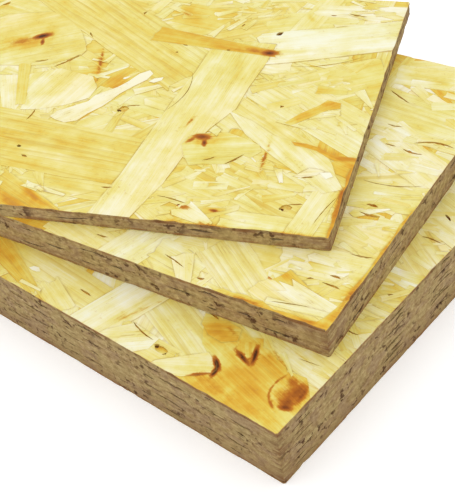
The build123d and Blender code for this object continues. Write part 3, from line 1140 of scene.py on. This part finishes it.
mediumMarks = [
    ((-1.0, 14), (14.0, 1.7), 90, 1.0, 0.34, True), ((-0.5, 46), (14.0, 1.0), 90, 1.0, 0.26, True),
    ((-28, 129), (13.0, 1.8), 0, 0.7, 0.05), ((-20, 122), (7.0, 1.6), -42, 0.7, 0.1),
    ((-32, 115), (5.5, 0.7), -38, 0.2, 0.5), ((-124, 2), (9.0, 2.4), -30, 0.9, 0.1),
    ((-28, 13), (2.2, 1.2), 0, 0.8, 0.5), ((-30, 0.8), (11.0, 0.9), 0, 0.9, 0.42, True),
    ((-5, 1.2), (7.0, 2.2), 0, 1.0, 0.12, True), ((-1.4, 6), (7.0, 1.8), 90, 0.9, 0.12, True),
    ((-0.5, 17), (5.0, 0.6), 90, 0.8, 0.4), ((-2, 46), (3.0, 1.0), 90, 0.7, 0.2),
    ((-26, 14), (5.0, 3.4), 0, 0.5, 0.0),
]
thickMarks = [
    ((-5.6, 14.4), (5.4, 6.2), 10, 0.9, 0.56), ((-18.5, 24.4), (9.0, 0.7), -23, 0.7, 0.32, True),
    ((-12.5, 28.6), (9.0, 0.5), -4, 0.7, 0.24, True),
    ((-4.8, 16.6), (4.2, 5.6), 8, 0.9, 0.76), ((-7.8, 18.4), (4.0, 2.8), -30, 0.9, 0.62),
    ((-5.0, 11.4), (3.4, 3.2), 0, 0.9, 0.72), ((-8.6, 13.6), (3.0, 3.4), 0, 0.9, 0.36),
    ((-3.0, 16.4), (5.4, 1.5), -80, 0.6, 0.82), ((-4.2, 9.6), (3.0, 1.7), 20, 0.7, 0.86),
    ((-12.2, 18.6), (3.2, 0.7), 78, 0.5, 0.42), ((-12.7, 16.2), (3.2, 0.7), 88, 0.5, 0.46),
    ((-12.6, 13.8), (3.2, 0.7), -86, 0.5, 0.46), ((-12.0, 11.6), (3.2, 0.7), -72, 0.5, 0.44),
    ((-10.8, 9.8), (3.2, 0.7), -50, 0.5, 0.46), ((-9.0, 8.4), (3.2, 0.8), -30, 0.6, 0.5),
    ((-20, 11), (19.0, 9.5), -8, 0.62, 0.0, True), ((-29, 3.4), (11.0, 3.8), -6, 1.0, 0.27, True),
    ((-30, 21), (12.0, 6.5), -10, 0.9, 0.15, True), ((-22.4, 22.4), (4.0, 3.0), 0, 0.9, 0.24, True),
    ((-41, 22), (7.0, 5.0), 0, 0.8, 0.05, True),
    # these two thin brown strokes are painted shadow along the edges of the small tongue-shaped flake
    # between them
    ((-25.3, 20.8), (4.8, 1.2), -66, 0.7, 1.3, True), ((-28.2, 18.1), (5.2, 1.0), -18, 0.7, 1.25, True),
    ((-38, 25), (6.0, 1.4), -12, 0.8, 0.35), ((-33.4, 11.6), (4.0, 1.2), -36, 0.7, 1.35, True),
    ((-31.6, 8.6), (2.9, 1.1), -80, 0.7, 1.3, True), ((-35.2, 4.8), (4.6, 0.8), 42, 0.5, 0.75, True),
    ((-38, 8.5), (7.0, 3.0), 10, 0.55, 0.1), ((-71, 13), (16.0, 0.8), 66, 0.5, 0.28, True),
    ((-53, 6.6), (5.0, 2.6), 0, 0.8, 0.15), ((-126, 4), (10.0, 3.4), -30, 0.9, 0.15),
    ((-14, 3), (16.0, 3.0), -6, 0.7, 0.0, True), ((-46, -1.6), (4.0, 0.9), 18, 0.6, 0.4, True),
]

# Voids and open slits: place, size, angle, depth, brown (how dark the floor is painted, as the hole's shade)
thinPits = [
    ((-96.2, 62.6), (4.4, 3.8), 15, 0.85, 0.25), ((-97.8, 62.0), (1.8, 1.8), 0, 0.95, 1.0),
    ((-92.8, 65.2), (5.6, 0.8), 12, 0.7, 0.7),
    ((-18.5, 13.5), (4.4, 3.8), 15, 0.85, 0.25), ((-20.0, 13.0), (1.8, 1.8), 0, 0.95, 1.0),
    ((-15.6, 15.9), (5.0, 0.8), 8, 0.7, 0.7),
    ((-131.5, 92.3), (13.0, 1.0), 50, 0.7, 0.6), ((-142.6, 91), (5.8, 0.8), 18, 0.7, 0.55),
    ((-44, 37.5), (8.5, 0.8), 48, 0.7, 0.7), ((-53.5, 36.5), (5.2, 0.7), 30, 0.7, 0.5),
    ((-48, 121), (3.6, 2.0), 50, 0.8, 1.0), ((-66, 107), (1.6, 1.1), 0, 0.7, 0.8),
    ((-85, 108.5), (2.4, 0.9), -10, 0.7, 0.8), ((-87, 103), (1.2, 0.9), 0, 0.7, 0.8),
    ((-129, 34), (2.0, 1.8), 0, 0.7, 1.0), ((-124.5, 28.5), (3.0, 1.0), -20, 0.7, 0.8),
    ((-86, 15.2), (4.2, 0.8), 3, 0.7, 0.6), ((-34.5, 71.5), (1.8, 1.3), 40, 0.7, 0.7),
    ((-36, 90.5), (2.6, 0.5), 80, 0.7, 0.7), ((-65, 126), (2.0, 1.0), 70, 0.7, 0.6),
    ((-110, 131), (3.0, 1.0), 80, 0.7, 0.6), ((-128, 112), (4.5, 0.7), -55, 0.7, 0.4),
    ((-15, 31), (4.4, 0.9), 12, 0.7, 0.7), ((-19, 137.8), (8.0, 1.0), -10, 0.7, 0.7),
    ((-29, 137), (3.0, 0.7), 0, 0.7, 0.7), ((-177, 133), (4.0, 1.6), 40, 0.7, 0.5),
    ((-24, 104), (30.0, 0.34), 19, 0.5, 0.3), ((-78, 76), (26.0, 0.34), 81.5, 0.5, 0.3),
    ((-132.5, 54.5), (7.5, 0.7), 84, 0.65, 0.5), ((-60, 12), (12.0, 0.6), -12, 0.65, 0.5),
    ((-4.6, 14.5), (16.0, 0.34), 71, 0.5, 0.3),
]
mediumPits = [
    ((-91, 6.5), (5.0, 0.8), 3, 0.7, 0.5), ((-26.5, 99.6), (6.4, 0.7), 6, 0.7, 0.6),
    ((-8.8, 94.1), (15.0, 1.0), 12, 0.7, 0.7), ((-14.2, 88.3), (7.8, 1.2), -2, 0.7, 0.7),
    ((-23, 88.8), (4.4, 0.7), 0, 0.7, 0.6), ((-14, 57.2), (4.6, 1.2), 0, 0.75, 0.8),
    ((-13, 53.1), (7.8, 1.0), 2, 0.7, 0.6), ((-6, 34.2), (8.0, 0.7), 10, 0.65, 0.4),
    ((-13, 70.7), (22.0, 0.5), 14, 0.65, 0.45), ((-9, 22), (4.2, 0.9), 0, 0.7, 0.8),
    ((-8.5, 18), (7.0, 0.9), -4, 0.7, 0.6), ((-16, 5.4), (14.0, 0.4), 13, 0.65, 0.5),
    ((-61, 6.5), (10.0, 0.6), -16, 0.65, 0.5), ((-48.5, 3.4), (3.0, 1.2), 10, 0.75, 0.7),
    ((-16, 18), (2.6, 0.8), 30, 0.7, 0.6),
    ((-32.5, 115.6), (11.4, 0.7), -25, 0.65, 0.55),
]
thickPits = [
    ((-52.4, 6.2), (5.6, 2.6), 4, 0.8, 0.1), ((-54.8, 6.8), (2.0, 1.2), 30, 0.9, 1.0),
    ((-50.2, 5.4), (1.8, 0.6), 60, 0.8, 1.0),
    ((-92, 11), (6.0, 0.9), -4, 0.7, 0.6), ((-9.5, 107), (4.0, 1.3), -30, 0.75, 0.9),
    ((-8, 94.8), (8.0, 0.8), 4, 0.7, 0.7), ((-5.5, 46), (5.0, 0.6), 0, 0.65, 0.5),
    ((-5, 66), (2.0, 0.8), 30, 0.7, 0.6),
    ((-47.5, 26.8), (5.0, 0.9), -6, 0.7, 0.8), ((-63, 9), (12.0, 0.6), -12, 0.65, 0.5),
    ((-9, 28.2), (9.0, 0.34), 9, 0.5, 0.35),
]


faces = {
    # the lists above; below: how many strands lie under the chips; plan: scale of the drawn places;
    # paler: taken off every tone, as painted light that makes up for the shade the board above casts; frays:
    # sawn side, from, to and reach
    "thinPanel": {
        "strands": thinLaid, "below": 18, "chips": thinFines, "voids": thinPits, "marks": thinMarks,
        "plan": (0.968, 0.932), "paler": 0.0, "frays": [(0, 140, 200, 0.7), (1, 0, 25, 0.35)],
    },
    "mediumPanel": {
        "strands": mediumLaid, "below": 6, "chips": mediumFines, "voids": mediumPits, "marks": mediumMarks,
        "plan": (1.0, 1.0), "paler": 0.04, "frays": [(0, 150, 200, 0.5), (1, 0, 22, 0.5)],
    },
    "thickPanel": {
        "strands": thickLaid, "below": 6, "chips": thickFines, "voids": thickPits, "marks": thickMarks,
        "plan": (1.0, 1.0), "paler": 0.0, "frays": [(0, 150, 200, 0.15)],
    },
}
chips = {
    "half": (2, 6.5),      # half their length
    "slender": (0.1, 0.8), "least": 0.7,
    "turn": 26,            # spread in degrees
    "tone": (0.38, 0.09, 0.20, 0.62),
    "taper": (0.1, 0.9), "rings": (0, 0.5), "torn": 2.8, "rim": (0.0, 0.7), "fade": 0.1,
}
# how the floors of voids are darkened through brown: painted shade of the holes, near black for the deepest
voidShade = {"wood": 0.6, "dark": 0.95, "fromBrown": 0.9, "base": 0.15, "gain": 0.3}


def fines(rng, clusters):
    # chips and splinters that gather between the broad strands
    middle, spread, least, most = chips["tone"]
    shapes = []
    for place, reach, count, angle in clusters:
        for _ in range(count):
            spot = rng.normal(place, reach)
            half = turned(angle + rng.normal(0, chips["turn"])) * rng.uniform(*chips["half"])
            width = chips["least"] + np.linalg.norm(half) * rng.uniform(*chips["slender"])
            tone = float(np.clip(rng.normal(middle, spread), least, most))
            widths = (width, width * rng.uniform(*chips["taper"]))
            rings, rim = rng.uniform(*chips["rings"]), rng.uniform(*chips["rim"])
            shapes.append(flake(rng, spot - half, spot + half, widths, tone, rings, chips["torn"],
                                line=rim, fade=rng.normal(0, chips["fade"])))
    return shapes


def laidOut(rng, face):
    # what shows in the photograph on one face: strands, chips and voids, and the marks on them
    plan = face["plan"]
    shapes = []
    for number, (*drawn, tone, rings, rest) in enumerate(face["strands"]):
        if number == face["below"]:
            shapes += fines(rng, face["chips"])
        if len(drawn) == 3:
            start, end, widths = drawn
            start, end = np.multiply(start, plan), np.multiply(end, plan)
            shapes.append(flake(rng, start, end, widths, tone, rings, **rest))
        else:
            outline, angle = drawn
            shapes.append(patch(rng, np.multiply(outline, plan), angle, tone, rings, **rest))
    # voids: their floors are painted darker as the hole's shade
    for place, size, angle, depth, brown in face["voids"]:
        shade = voidShade["dark"]
        if brown < voidShade["fromBrown"]:
            shade = voidShade["base"] + voidShade["gain"] * brown
        shapes.append(pit(rng, np.multiply(place, plan), size, angle, depth, voidShade["wood"], shade))
    # painted light: paler tones make up for the shade from the board above
    for shape in shapes:
        shape["tone"] -= face["paler"]
    marks = []
    for place, size, angle, amber, brown, *wide in face["marks"]:
        marks.append({"at": np.multiply(place, plan), "size": size, "angle": angle, "amber": amber,
                      "brown": brown, "everywhere": bool(wide)})
    return shapes, marks


# Materials

def rgb(red, green, blue):
    # a colour as it is seen, from 0 to 255, in the shader's own linear light
    out = []
    for value in (red, green, blue):
        c = value / 255
        out.append(c / 12.92 if c <= 0.04045 else ((c + 0.055) / 1.055) ** 2.4)
    return (*out, 1.0)


class NodeTray:
    # short calls for a node tree
    def __init__(self, tree):
        self.tree = tree

    def add(self, kind, values=(), **settings):
        node = self.tree.nodes.new(kind)
        for key, value in settings.items():
            setattr(node, key, value)
        for key, value in dict(values).items():
            self.feed(node.inputs[key], value)
        return node

    def feed(self, socket, value):
        if isinstance(value, bpy.types.NodeSocket):
            self.tree.links.new(value, socket)
        else:
            socket.default_value = value

    def maths(self, operation, a, b=0.0, c=0.0, clamp=False):
        node = self.add("ShaderNodeMath", {0: a, 1: b, 2: c}, operation=operation, use_clamp=clamp)
        return node.outputs[0]

    def product(self, a, b, clamp=False):
        return self.maths("MULTIPLY", a, b, clamp=clamp)

    def share(self, value, gain, shift):
        # stretched and shifted, and kept between 0 and 1
        return self.maths("MULTIPLY_ADD", value, gain, shift, clamp=True)

    def varied(self, value, noise, amount):
        # a noise that swings about its own middle, added to a value
        return self.maths("MULTIPLY_ADD", self.maths("SUBTRACT", noise, 0.5), amount, value)

    def softStep(self, value, low, high):
        settings = {"Value": value, "From Min": low, "From Max": high}
        return self.add("ShaderNodeMapRange", settings, interpolation_type="SMOOTHSTEP").outputs[0]

    def blend(self, share, a, b, mode="MIX"):
        node = self.add("ShaderNodeMix", data_type="RGBA", blend_type=mode)
        for number, value in ((0, share), (6, a), (7, b)):
            self.feed(node.inputs[number], value)
        return node.outputs[2]

    def tinted(self, colour, mask, amount, tint):
        return self.blend(self.product(mask, amount), colour, rgb(*tint))

    def leaning(self, colour, share, tint):
        return self.blend(share, colour, self.blend(1.0, colour, rgb(*tint), "MULTIPLY"))

    def ramp(self, value, stops):
        # stops: a place, then a colour as it is seen or a plain share
        node = self.add("ShaderNodeValToRGB", {0: value})
        points = node.color_ramp.elements
        while len(points) > 1:
            points.remove(points[-1])
        for number, (place, shade) in enumerate(stops):
            point = points.new(place) if number else points[0]
            point.position = place
            point.color = rgb(*shade) if isinstance(shade, tuple) else (shade, shade, shade, 1.0)
        return node.outputs[0]

    def noise(self, vector, scale, detail=3.0, roughness=0.55):
        mapped = self.add("ShaderNodeMapping", {"Vector": vector, "Scale": scale}).outputs[0]
        settings = {"Vector": mapped, "Scale": 1.0, "Detail": detail, "Roughness": roughness}
        return self.add("ShaderNodeTexNoise", settings).outputs[0]


def grainGroup():
    # long fibres, for both the strand faces and their sawn ends
    group = bpy.data.node_groups.new("woodGrain", "ShaderNodeTree")
    sockets = (
        ("Grain", "INPUT", "NodeSocketVector"), ("Length", "INPUT", "NodeSocketFloat"),
        ("Width", "INPUT", "NodeSocketFloat"), ("Fibres", "OUTPUT", "NodeSocketFloat"),
        ("Streaks", "OUTPUT", "NodeSocketFloat"),
    )
    for name, way, kind in sockets:
        group.interface.new_socket(name, in_out=way, socket_type=kind)
    tray = NodeTray(group)
    given = tray.add("NodeGroupInput").outputs
    scale = tray.add("ShaderNodeCombineXYZ", {0: given["Length"], 1: given["Width"], 2: 1.0}).outputs[0]
    place = tray.add("ShaderNodeVectorMath", {0: given["Grain"], 1: scale}, operation="MULTIPLY").outputs[0]
    out = tray.add("NodeGroupOutput")
    for name, size, detail, roughness in (("Fibres", 1.0, 4.0, 0.6), ("Streaks", 0.22, 2.0, 0.5)):
        settings = {"Vector": place, "Scale": size, "Detail": detail, "Roughness": roughness}
        tray.feed(out.inputs[name], tray.add("ShaderNodeTexNoise", settings).outputs[0])
    return group


def startMaterial(name, finish, grain):
    # what both materials begin with: the grain's place, the corner values and the fibres
    material = bpy.data.materials.new(name)
    material.use_nodes = True
    tray = NodeTray(material.node_tree)
    uv = tray.add("ShaderNodeUVMap", uv_map="grain").outputs[0]
    place = tray.add("ShaderNodeTexCoord").outputs["Object"]
    corner = []
    for layer in ("look", "mark"):
        found = tray.add("ShaderNodeAttribute", attribute_name=layer).outputs
        corner += [*tray.add("ShaderNodeSeparateColor", {0: found["Color"]}).outputs, found["Alpha"]]
    settings = {"Grain": uv, "Length": finish["fibreLength"], "Width": finish["fibreWidth"]}
    fibre = tray.add("ShaderNodeGroup", settings, node_tree=grain).outputs
    return material, tray, uv, place, corner, fibre["Fibres"], fibre["Streaks"]


def finishMaterial(material, tray, finish, colour, rough, high):
    shader = material.node_tree.nodes["Principled BSDF"]
    tray.feed(shader.inputs["Base Color"], colour)
    tray.feed(shader.inputs["Roughness"], rough)
    shader.inputs["Specular IOR Level"].default_value = finish["specular"]
    settings = {"Height": high, "Strength": finish["relief"], "Distance": finish["reliefDepth"]}
    tray.feed(shader.inputs["Normal"], tray.add("ShaderNodeBump", settings).outputs[0])
    return material


strandFinish = {
    "fibreLength": 70.0, "fibreWidth": 2600.0,     # per metre
    "ringPitch": 270.0,                            # latewood lines per metre, across a strand
    "ringWander": 3.4,
    "tones": [
        (0.0, (255, 253, 228)), (0.11, (252, 247, 204)), (0.28, (245, 235, 156)), (0.43, (239, 223, 120)),
        (0.57, (236, 204, 84)), (0.72, (231, 178, 56)), (1.0, (204, 126, 34)),
    ],
    "knots": [(0.2, (220, 158, 46)), (0.5, (190, 112, 32)), (0.78, (146, 76, 24)), (1.0, (84, 46, 18))],
    "latewood": (216, 184, 92), "peach": (255, 248, 228), "green": (250, 252, 238),
    "check": (204, 166, 80), "speck": (206, 158, 74), "rim": (214, 182, 98), "seamShade": (178, 142, 66),
    "wall": (198, 156, 70), "rubbed": (212, 152, 66),
    "roughness": 0.56, "specular": 0.15,
    "relief": 0.55, "reliefDepth": 0.00012,
}


def strandMaterial(grain):
    finish = strandFinish
    material, tray, uv, place, corner, fibres, streaks = startMaterial("strandWood", finish, grain)
    tone, rings, rim, grooveShade, amber, brown, sawn, wall = corner
    patches = tray.noise(uv, (28, 110, 1))
    clouds = tray.noise(place, (95, 95, 95), 4.0, 0.6)
    fleck = tray.noise(place, (900, 900, 900), 2.0)

    # latewood lines: a saw-tooth across the grain that wanders along it
    across = tray.add("ShaderNodeSeparateXYZ", {0: uv}).outputs[1]
    wander = tray.product(tray.noise(uv, (9, 160, 1), 2.0), finish["ringWander"])
    tooth = tray.maths("FRACT", tray.maths("MULTIPLY_ADD", across, finish["ringPitch"], wander))
    ring = tray.ramp(tooth, [(0.0, 0.0), (0.5, 0.12), (0.82, 0.8), (0.9, 1.0), (0.97, 0.15), (1.0, 0.0)])
    ringed = tray.product(tray.product(ring, tray.share(streaks, 1.6, -0.15)), rings)

    # resin deepens the wood's own tone
    resin = tray.product(amber, tray.share(streaks, 1.1, 0.35))
    resin = tray.product(resin, tray.share(clouds, 2.6, -0.45), clamp=True)
    value = tray.varied(tone, fibres, tray.maths("MULTIPLY_ADD", amber, -0.36, 0.55))
    for noise, amount in ((patches, 0.80), (clouds, 0.75), (streaks, 0.35)):
        value = tray.varied(value, noise, amount)
    value = tray.maths("MULTIPLY_ADD", ringed, 0.12, value)
    value = tray.maths("MULTIPLY_ADD", resin, 0.52, value)
    colour = tray.ramp(tray.product(value, 0.75), finish["tones"])
    colour = tray.tinted(colour, ringed, 0.62, finish["latewood"])
    # some strands lean to peach, others to green
    hue = tray.noise(uv, (7, 22, 1), 1.0)
    colour = tray.leaning(colour, tray.share(hue, 3.2, -1.45), finish["peach"])
    colour = tray.leaning(colour, tray.share(hue, -3.2, 1.45), finish["green"])
    # hairline checks along the grain
    checks = tray.noise(uv, (60, 900, 1), 1.0)
    hair = tray.share(tray.maths("ABSOLUTE", tray.maths("SUBTRACT", checks, 0.5)), -46.0, 1.0)
    hair = tray.product(hair, tray.share(patches, 5.0, -2.5))
    colour = tray.tinted(colour, hair, 0.55, finish["check"])
    speck = tray.product(tray.softStep(fleck, 0.62, 0.72), tray.share(clouds, 3.0, -1.2))
    colour = tray.tinted(colour, speck, 0.5, finish["speck"])
    # heartwood and knots, and the painted shade on the floors of voids
    knotAndVoidShade = brown
    for noise, amount in ((fibres, 0.35), (clouds, 0.5), (fleck, 0.25)):
        knotAndVoidShade = tray.varied(knotAndVoidShade, noise, amount)
    colour = tray.blend(tray.softStep(knotAndVoidShade, 0.12, 0.42), colour, tray.ramp(knotAndVoidShade, finish["knots"]))
    # rims, and the seams below them: painted contact shade, with some resin
    # the rim's tint is partly the edge's own resin and torn fibre, partly painted edge shade
    rimmed = tray.product(rim, tray.share(patches, 3.0, -1.2), clamp=True)
    colour = tray.tinted(colour, rimmed, 0.25, finish["rim"])
    seamShade = tray.product(tray.maths("POWER", grooveShade, 1.6), tray.share(clouds, 3.4, -1.0), clamp=True)
    colour = tray.tinted(colour, seamShade, 0.9, finish["seamShade"])
    colour = tray.tinted(colour, wall, 0.6, finish["wall"])
    rub = tray.product(sawn, tray.share(patches, 2.4, -0.8), clamp=True)
    colour = tray.tinted(colour, rub, 0.7, finish["rubbed"])
    rough = tray.maths("MULTIPLY_ADD", fibres, 0.18, finish["roughness"] - 0.09)
    high = tray.maths("MULTIPLY_ADD", ringed, 0.5, fibres)
    high = tray.maths("MULTIPLY_ADD", hair, -0.6, high)
    return finishMaterial(material, tray, finish, colour, rough, high)


sawnFinish = {
    "fibreLength": 260.0, "fibreWidth": 1500.0,
    "tones": [
        (0.0, (102, 72, 48)), (0.25, (144, 116, 76)), (0.52, (175, 148, 101)), (0.75, (198, 174, 124)),
        (1.0, (218, 198, 150)),
    ],
    "cool": (158, 132, 108), "olive": (176, 158, 108), "low": (136, 96, 60), "clot": (78, 50, 36),
    "shadow": (112, 72, 52), "arris": (142, 98, 56), "grooveShade": (122, 94, 68),
    "lowReach": -110.0,      # per metre: how soon the browner rim of the underside fades upwards
    "roughness": 0.85, "specular": 0.04,
    "relief": 0.45, "reliefDepth": 0.00022,
}


def sawnMaterial(grain):
    finish = sawnFinish
    material, tray, _, place, corner, fibres, streaks = startMaterial("sawnEdge", finish, grain)
    tone, _, _, grooveShade, _, cornerShade, arris, _ = corner
    broad = tray.noise(place, (120, 120, 240), 2.0)
    mottle = tray.noise(place, (430, 430, 600), 4.0, 0.65)
    clots = tray.noise(place, (400, 400, 500), 2.0)
    crowd = tray.noise(place, (90, 90, 170), 1.0)
    grit = tray.noise(place, (1500, 1500, 1500), 2.0)

    value = tray.maths("MULTIPLY_ADD", tray.maths("SUBTRACT", tone, 0.5), 0.22, 0.52)
    for noise, amount in ((fibres, 0.22), (mottle, 1.5), (grit, 0.4)):
        value = tray.varied(value, noise, amount)
    colour = tray.ramp(value, finish["tones"])
    colour = tray.tinted(colour, tray.softStep(broad, 0.46, 0.64), 0.4, finish["cool"])
    colour = tray.tinted(colour, tray.softStep(broad, 0.54, 0.38), 0.35, finish["olive"])
    # the underside's rim is browner
    height = tray.add("ShaderNodeSeparateXYZ", {0: place}).outputs[2]
    low = tray.product(tray.share(height, finish["lowReach"], 1.0), tray.share(mottle, 4.0, -1.4))
    colour = tray.tinted(colour, low, 0.45, finish["low"])
    dark = tray.product(tray.softStep(clots, 0.53, 0.63), tray.share(crowd, 5.0, -2.1))
    colour = tray.tinted(colour, dark, 0.85, finish["clot"])
    # painted shade towards the upright corners, and a brown line along the arrises
    shadow = tray.product(cornerShade, tray.share(streaks, 3.4, -1.3), clamp=True)
    colour = tray.tinted(colour, shadow, 0.75, finish["shadow"])
    # the brown line is the arris's own colour, and at the lower arrises also painted contact shade
    brownLine = tray.product(arris, tray.share(broad, 3.0, -1.0), clamp=True)
    colour = tray.tinted(colour, brownLine, 0.8, finish["arris"])
    # painted shade beside the steps between strand ends
    colour = tray.tinted(colour, grooveShade, 0.12, finish["grooveShade"])
    rough = tray.maths("MULTIPLY_ADD", fibres, 0.12, finish["roughness"] - 0.06)
    high = tray.maths("MULTIPLY_ADD", mottle, 0.8, fibres)
    high = tray.maths("MULTIPLY_ADD", dark, -0.5, high)
    return finishMaterial(material, tray, finish, colour, rough, high)


# Floor and light

studio = {
    "floor": 3.0, "floorColour": (246, 246, 246), "floorRoughness": 0.9,
    "floorGlow": 0.30,     # so that the floor is seen white
    "skyLevel": 0.96,
    "lampPower": 1.4,
    "lampSize": 1.2,
    "lampPlace": (-0.6, -0.9, 1.3),
}


def addStudio():
    deselect()
    bpy.ops.mesh.primitive_plane_add(size=studio["floor"], location=(0, 0, cadBox[0][2]))
    floor = bpy.context.object
    floor.name = "floor"
    material = bpy.data.materials.new("paleFloor")
    material.use_nodes = True
    tray = NodeTray(material.node_tree)
    shader = material.node_tree.nodes["Principled BSDF"]
    shader.inputs["Base Color"].default_value = rgb(*studio["floorColour"])
    shader.inputs["Roughness"].default_value = studio["floorRoughness"]
    seen = tray.add("ShaderNodeLightPath")
    share = tray.maths("ADD", seen.outputs["Is Camera Ray"], seen.outputs["Is Glossy Ray"], clamp=True)
    shader.inputs["Emission Color"].default_value = (1, 1, 1, 1)
    tray.feed(shader.inputs["Emission Strength"], tray.product(share, studio["floorGlow"]))
    floor.data.materials.append(material)

    world = bpy.data.worlds.new("studio")
    bpy.context.scene.world = world
    world.use_nodes = True
    back = world.node_tree.nodes["Background"]
    back.inputs["Color"].default_value = (1, 1, 1, 1)
    back.inputs["Strength"].default_value = studio["skyLevel"]

    light = bpy.data.lights.new("softbox", "AREA")
    light.shape = "DISK"
    light.size = studio["lampSize"]
    light.energy = studio["lampPower"]
    lamp = bpy.data.objects.new("softbox", light)
    lamp.location = studio["lampPlace"]
    lamp.rotation_euler = (-Vector(studio["lampPlace"])).to_track_quat("-Z", "Y").to_euler()
    bpy.context.collection.objects.link(lamp)
    bpy.context.scene.view_settings.view_transform = "Standard"


addStudio()
grain = grainGroup()
materials = [strandMaterial(grain), sawnMaterial(grain)]
print("studio and materials made")

for name, spec in boards.items():
    addBoard(name, spec, faces[name], materials)
